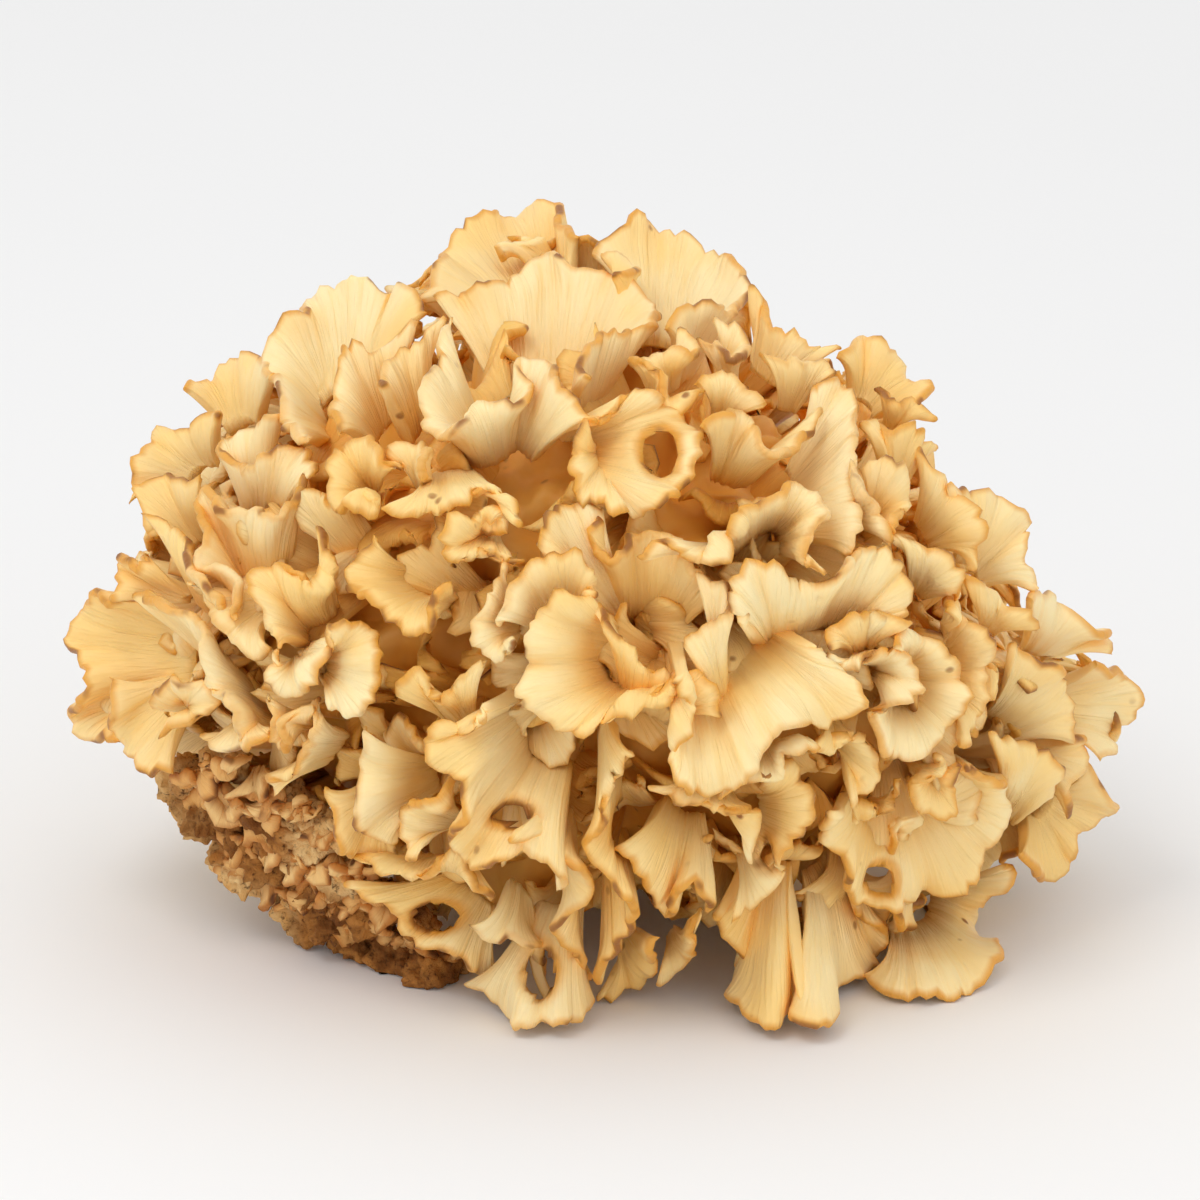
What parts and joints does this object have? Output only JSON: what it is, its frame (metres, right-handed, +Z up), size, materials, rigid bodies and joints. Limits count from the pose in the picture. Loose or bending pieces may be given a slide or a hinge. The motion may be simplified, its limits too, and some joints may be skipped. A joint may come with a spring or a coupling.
{
  "type": "cauliflower mushroom",
  "caption": "Cauliflower mushroom, cut flat at its foot, with a loose head of wavy cream fronds over a brown rooting base",
  "frame": {"origin": "middle of the bounding box on X and Y, on the plane of the cut foot", "axes": "+X across the broadest side, +Y from the pictured front to the back, +Z up from the cut foot to the crown"},
  "size_m": [0.2416, 0.1866, 0.1561],
  "materials": {
    "flesh": "satin, waxy cream flesh"
  },
  "bodies": {
    "root": {"fruiting_body": "flesh"}
  },
  "joints": []
}
